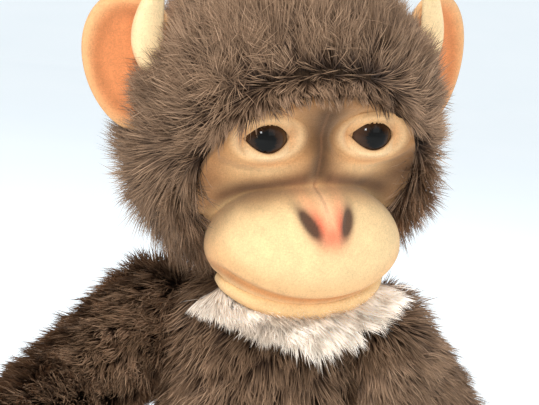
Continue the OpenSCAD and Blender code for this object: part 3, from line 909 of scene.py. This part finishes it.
def make_chin():
    """White pile on a crescent under the lower lip, combed down and outwards."""
    s = np.linspace(-1, 1, 70)[:, None]
    t = np.linspace(0, 1, 16)[None, :]
    x = 31.5 * s + 0 * t
    top = mouth_line(x) - 6.4
    front = on_face(x * 0.97, top, -1.2)
    under = np.stack([x * 1.0, 17.0 + 13.0 * (1 - s ** 2) + 0 * t, -60.5 + 9.0 * s ** 2 + 0 * t], -1)
    bow = np.sin(math.pi * t)[..., None] * np.array([0, 3.0, -0.6])
    grid = front * (1 - t[..., None]) + under * t[..., None] + bow
    mesh = sheet_mesh("chin_cloth", FACE.out(ahead_to_face(grid)))
    mesh.flip_normals()
    cloth = new_object("chin_cloth", mesh, SHADED_CHIN_BACKING, "head")
    wall = cloth.modifiers.new("wall", "SOLIDIFY")
    wall.thickness = 1.0 * MM
    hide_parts("chin_beard")
    rng = np.random.default_rng(SEED + 5)
    local = ahead_to_face(grid)
    roots, normals, _ = scatter(local, 24000, rng)
    normals = np.where(normals[:, 1:2] > 0, -normals, normals)
    comb = np.stack([roots[:, 0] * 0.026, np.full(len(roots), -0.45), np.full(len(roots), -1.0)], 1)
    size = CHIN_PILE * (1 - 0.30 * np.abs(roots[:, 0] / 30) ** 2)
    hairs("chin_pile", FACE, "head", WHITE, roots, normals, unit(comb), size, 0.34, rng, 0.42, 2.4,
          curl=0.06, shade=0.55, patch=7, seed=3)


# ---------- torso and limbs ----------

def torso_grid(rows=96, cols=80):
    """Barrel turned round the up axis, pressed flat at the seat, neck, shoulders and hips."""
    z = np.linspace(0.5, 139.5, cols)
    ring = np.interp(z, [0.5, 6, 14, 29, 62, 90, 106, 122, 132, 139.5],
                     [12, 23.5, 29.5, 33.5, 37.5, 33.5, 31.5, 26.5, 17.5, 0.01])
    kernel = np.ones(5) / 5
    ring[2:-2] = np.convolve(ring, kernel, "same")[2:-2]
    ring[0] = 0.01
    a = np.linspace(0, 2 * math.pi, rows + 1)[:, None]
    belly = 1 + 0.05 * bell(z - 60, 30)[None, :] * -np.sin(a)
    grid = np.stack([np.cos(a) * ring, np.sin(a) * ring * belly, z + 0 * a], axis=-1)
    for side in (1, -1):
        for name, cap in (("arm", 0.6), ("leg", 0.6)):
            j = joint(f"{name}_{'left' if side > 0 else 'right'}_swing")
            out = unit(np.array(j["axis"], float))
            out = out * np.sign(out[0] * side)
            over = np.maximum((grid - np.array(j["pos_m"]) / MM) @ out + cap, 0)
            grid = grid - over[..., None] * out
    neck = joint("neck_turn")
    up = unit(np.array(neck["axis"], float))
    over = np.maximum((grid - np.array(neck["pos_m"]) / MM) @ up + 0.6, 0)
    return grid - over[..., None] * up


def make_torso():
    """Backing cloth of the body, with pile combed down it."""
    grid = torso_grid()
    mesh = sheet_mesh("torso_cloth", TORSO.out(grid))
    weld(mesh)
    cloth = new_object("torso_cloth", mesh, SHADED_BACKING, "torso")
    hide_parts("torso_skin", "torso_stuffing")

    def comb(roots, normals, along):
        out = roots * np.array([1, 1, 0]) / 40
        part = np.sign(roots[:, :1]) * np.array([0.35, 0, 0])
        return unit(out * 0.4 + part * 0.4 + np.array([0, 0, -1.0]))

    def weight(p):
        return 0.25 + 0.75 * ease(p[..., 2], 2, 12)

    def length(roots):
        return PILE * (0.45 + 0.55 * ease(roots[:, 2], 0, 14))

    pelt("torso", TORSO, "torso", grid, 56000, comb, length, width=0.5, parts=2, weight=weight,
         stand=0.5, lock=4.6)


def limb_grid(path, radii, flat, rows=64, cols=70, blunt=0.55):
    """Tube along a bent path, its radius eased between the given ones, ball-ended at the start and
    blunt at the end, pressed flat where it lies on the body."""
    path = np.array(path, float)
    legs = np.linalg.norm(np.diff(path, axis=0), axis=1)
    knots = np.concatenate([[0], np.cumsum(legs)])
    total = knots[-1]
    s = np.concatenate([-radii[0] * np.cos(np.linspace(0, math.pi / 2, 14)),
                        np.linspace(0, total, cols)[1:],
                        total + radii[-1] * blunt * np.sin(np.linspace(0, math.pi / 2, 8))[1:]])
    inner = np.clip(s, 0, total)
    smooth = np.linspace(0, total, 200)
    middle_line = np.stack([np.interp(smooth, knots, path[:, k]) for k in range(3)], axis=1)
    weight = np.ones(31) / 31
    bent = np.stack([np.convolve(np.pad(middle_line[:, k], 15, "reflect", reflect_type="odd"),
                                 weight, "valid") for k in range(3)], axis=1)
    centre = np.stack([np.interp(inner, smooth, bent[:, k]) for k in range(3)], axis=1)
    first, last = unit(bent[4] - bent[0]), unit(bent[-1] - bent[-5])
    centre = centre + np.minimum(s, 0)[:, None] * first + np.maximum(s - total, 0)[:, None] * last
    radius = np.interp(inner, knots, radii)
    radius = np.where(s < 0, np.sqrt(np.maximum(radii[0] ** 2 - s ** 2, 1e-6)), radius)
    past = np.clip((s - total) / (radii[-1] * blunt), 0, 1)
    radius = radius * np.sqrt(np.maximum(1 - past ** 2, 1e-6))
    ahead = unit(np.gradient(centre, axis=0))
    out = unit(np.array([0, 0, 1.0]) - ahead * ahead[:, 2:3])
    side = np.cross(ahead, out)
    a = np.linspace(0, 2 * math.pi, rows + 1)[:, None, None]
    grid = centre + (np.cos(a) * side - np.sin(a) * out) * radius[:, None]
    grid[..., 2] = np.maximum(grid[..., 2], flat)
    return grid


def make_limb(kind, side, place, path, radii, count, tilt):
    """Cloth and pile of one arm or leg."""
    body = f"{kind}_{side}"
    grid = limb_grid(path, radii, 0.9)
    mesh = sheet_mesh(f"{body}_cloth", place.out(grid))
    weld(mesh)
    cloth = new_object(f"{body}_cloth", mesh, SHADED_BACKING, body)
    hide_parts(f"{body}_skin", f"{body}_stuffing")

    def comb(roots, normals, along):
        return unit(along + np.array([0, tilt, 0]) + normals * 0.1)

    def weight(p):
        return 0.15 + 0.85 * ease(p[..., 2], 0.9, 3.0)

    pelt(body, place, body, grid, count, comb, PILE, width=0.48, weight=weight, stand=0.5, lock=4.2)


def blob(name, place, body, material, rods, node, voxel=0.9):
    """Stuffed felt shape: ball-ended rods joined by a voxel skin and smoothed."""
    verts, faces = [], []
    for p, q, a, b in rods:
        p, q = np.array(p, float), np.array(q, float)
        reach = np.linalg.norm(q - p)
        s = np.concatenate([-a * np.cos(np.linspace(0, math.pi / 2, 7)),
                            np.linspace(0, reach, 6)[1:-1],
                            reach + b * np.sin(np.linspace(0, math.pi / 2, 7))])
        r = np.where(s < 0, np.sqrt(np.maximum(a * a - s * s, 1e-4)),
                     np.where(s > reach, np.sqrt(np.maximum(b * b - (s - reach) ** 2, 1e-4)),
                              a + (b - a) * np.clip(s / reach, 0, 1)))
        ahead = (q - p) / reach
        line = p + s[:, None] * ahead
        side = unit(np.cross(ahead, np.array([0.3, 0.2, 1.0])))
        top = np.cross(side, ahead)
        turn_a = np.linspace(0, 2 * math.pi, 20, endpoint=False)[:, None, None]
        ring = line + (np.cos(turn_a) * side + np.sin(turn_a) * top) * r[:, None]
        rows, cols = ring.shape[:2]
        index = np.arange(rows * cols).reshape(rows, cols) + len(verts)
        nxt = np.roll(index, -1, axis=0)
        quads = np.stack([index[:, :-1], nxt[:, :-1], nxt[:, 1:], index[:, 1:]], -1).reshape(-1, 4)
        faces += quads.tolist() + [index[::-1, 0].tolist(), index[:, -1].tolist()]
        verts += place.out(ring).reshape(-1, 3).tolist()
    mesh = bpy.data.meshes.new(name)
    mesh.from_pydata(verts, [], faces)
    weld(mesh, 1e-7)
    obj = bpy.data.objects.new(name, mesh)
    bpy.context.scene.collection.objects.link(obj)
    skin = obj.modifiers.new("skin", "REMESH")
    skin.mode = "VOXEL"
    skin.voxel_size = voxel * MM
    relax = obj.modifiers.new("relax", "SMOOTH")
    relax.iterations = 7
    relax.factor = 0.6
    finished = bpy.data.meshes.new_from_object(obj.evaluated_get(bpy.context.evaluated_depsgraph_get()))
    bpy.data.objects.remove(obj)
    finished.materials.clear()
    finished.polygons.foreach_set("use_smooth", np.ones(len(finished.polygons), bool))
    done = new_object(name, finished, material, body)
    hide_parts(node)
    return done


ELBOW, WRIST = (50, 6, 23), (95, -7, 29)
KNEE, ANKLE = (52, -3, 17.6), (92, 2, 17)


def hand_rods():
    """Palm, four fingers and a thumb, in the arm's frame."""
    m = turn("z", -16)
    at = np.array(WRIST, float)
    rods = [((-3, 0, 0), (7, 0, 0), 7.6, 7.2), ((5, 2.5, 0), (14, 3, -1), 6.2, 5.2),
            ((5, -2.5, 0), (14, -4, -1), 6.2, 5.2)]
    for i in range(4):
        spread = i - 1.5
        tip = 30 - abs(spread - 0.3) * 1.6
        knuckle = (22, spread * 5.0, -1.2)
        rods.append(((13, spread * 4, -0.6), knuckle, 3.6, 3.0))
        rods.append((knuckle, (tip, spread * 5.6 - 0.8, -5.0), 3.0, 2.5))
    rods.append(((7, -6, 0.5), (15, -12, -1.5), 3.9, 3.2))
    rods.append(((15, -12, -1.5), (19.5, -15.5, -4.5), 3.2, 2.7))
    return [(at + m @ np.array(p, float), at + m @ np.array(q, float), a, b) for p, q, a, b in rods]


def foot_rods():
    """Heel, sole, toes and the big toe set apart, in the leg's frame."""
    at = np.array(ANKLE, float)
    rods = [((4, 0, 0), (10, 1, 0), 9.5, 9.0), ((14.5, 3, 0), (14.8, -10, 0), 8.6, 8.0),
            ((14.8, -8, 2.5), (15.2, -22, 4), 6.4, 5.6), ((14.8, -8, -2), (15.2, -22, -3), 6.4, 5.6)]
    for i in range(4):
        z = i * 5 - 6.8
        end = -29.5 + abs(i - 1.7) * 1.6
        rods.append(((15.2, -18, z * 0.85), (14.6, end, z), 3.9, 3.3))
    rods.append(((16.3, -7, -4), (17.2, -15, -10), 4.4, 3.7))
    rods.append(((17.2, -15, -10), (16.6, -20.5, -12.5), 3.7, 3.2))
    return [(at + np.array(p, float), at + np.array(q, float), a, b) for p, q, a, b in rods]


def make_limbs():
    """Both arms with their hands, and both legs with their feet."""
    for side in ("left", "right"):
        place = ARMS[side]
        make_limb("arm", side, place, [(0, 0, 10), ELBOW, WRIST], [SHOULDER_R, ELBOW_R, WRIST_R],
                  32000, -0.15)
        blob(f"hand_{side}_felt", place, f"arm_{side}", HAND_FELT, hand_rods(), f"hand_{side}")
        place = LEGS[side]
        make_limb("leg", side, place, [(0, 0, 11), KNEE, (96, 2, 17)], [HIP_R, KNEE_R, ANKLE_R],
                  32000, 0.15)
        blob(f"foot_{side}_felt", place, f"leg_{side}", HAND_FELT, foot_rods(), f"foot_{side}")


# ---------- joint hardware and hidden parts ----------

def dress_cad_nodes():
    """Materials of the carried-over joint hardware and stuffing, by what their names end with."""
    board, wire, fill = fibreboard(), steel_wire(), wood_wool()
    for node, obj in frame["nodes"].items():
        if node.endswith(("_disc", "_discs")):
            material = board
        elif node.endswith(("_washer", "_washers", "_pins", "_shanks")):
            material = wire
        elif node.endswith("_stuffing"):
            material = fill
        else:
            material = SHADED_BACKING
        obj.data.materials.clear()
        obj.data.materials.append(material)


# ---------- stage, light and camera ----------

def make_stage():
    """Pale floor that rises far behind, a pale sky and the plain view transform."""
    m = Material("studio_floor")
    cloudy = m.noise(m.place(), 3, 2)
    floor_colour = m.ramp(cloudy, (0.3, (0.87, 0.92, 0.95)), (0.7, (0.91, 0.95, 0.975)))
    material = m.set(Base_Color=floor_colour, Roughness=0.8, Emission_Color=(0.9, 0.97, 1.0),
                     Emission_Strength=0.14)
    mesh = bpy.data.meshes.new("floor")
    near, far, rise = 3, 14, 1.6
    square = ((-1, -1), (1, -1), (1, 1), (-1, 1))
    corners = [(x * near, y * near, 0) for x, y in square] + [(x * far, y * far, rise) for x, y in square]
    ring = [(k, k + 4, (k + 1) % 4 + 4, (k + 1) % 4) for k in range(4)]
    mesh.from_pydata(corners, [], [(0, 1, 2, 3)] + ring)
    floor = bpy.data.objects.new("floor", mesh)
    floor.data.materials.append(material)
    bpy.context.scene.collection.objects.link(floor)
    world = bpy.data.worlds.new("studio")
    world.use_nodes = True
    sky = world.node_tree.nodes["Background"]
    sky.inputs["Color"].default_value = (0.93, 0.97, 1.0, 1)
    sky.inputs["Strength"].default_value = 0.86
    bpy.context.scene.world = world
    bpy.context.scene.view_settings.view_transform = "Standard"


def soft_light(name, azimuth, elevation, distance, size, power, colour):
    """Square soft light on a sphere round the head, looking at it."""
    data = bpy.data.lights.new(name, "AREA")
    data.size = size
    data.energy = power
    data.color = colour
    a, e = math.radians(azimuth), math.radians(elevation)
    aim = Vector(FACE.origin)
    back = Vector((math.sin(a) * math.cos(e), -math.cos(a) * math.cos(e), math.sin(e)))
    light = bpy.data.objects.new(name, data)
    light.location = aim + back * distance
    light.rotation_euler = (aim - light.location).to_track_quat("-Z", "Y").to_euler()
    bpy.context.scene.collection.objects.link(light)


def make_camera():
    """Close view of the head from a little above, slightly rolled."""
    azimuth, elevation, roll = 5.0, 8.5, 6.0
    lens, distance = 90.0, 0.425
    a, e = math.radians(azimuth), math.radians(elevation)
    back = np.array([math.sin(a) * math.cos(e), -math.cos(a) * math.cos(e), math.sin(e)])
    right = np.array([math.cos(a), math.sin(a), 0])
    up = np.cross(back, right)
    c, s = math.cos(math.radians(roll)), math.sin(math.radians(roll))
    right, up = right * c + up * s, up * c - right * s
    aim = FACE.origin - up * 0.0262 - right * 0.0045
    data = bpy.data.cameras.new("camera")
    data.lens = lens
    data.clip_start = 0.01
    camera = bpy.data.objects.new("camera", data)
    bpy.context.scene.collection.objects.link(camera)
    m = np.eye(4)
    m[:3, 0], m[:3, 1], m[:3, 2] = right, up, back
    m[:3, 3] = aim + back * distance
    camera.matrix_world = Matrix(m.tolist())
    bpy.context.scene.camera = camera


GLASS = eye_glass()
dress_cad_nodes()
make_head()
make_face()
make_chin()
make_torso()
make_limbs()
make_stage()
soft_light("key", -42, 42, 0.9, 0.16, 2.6, (1.0, 0.98, 0.95))
soft_light("window", 0, 20, 0.9, 0.11, 2.2, (1.0, 1.0, 1.0))
soft_light("fill", 50, 25, 1.1, 0.6, 1.0, (0.92, 0.96, 1.0))
soft_light("back", 160, 55, 1.0, 0.5, 3.0, (0.95, 0.98, 1.0))
make_camera()
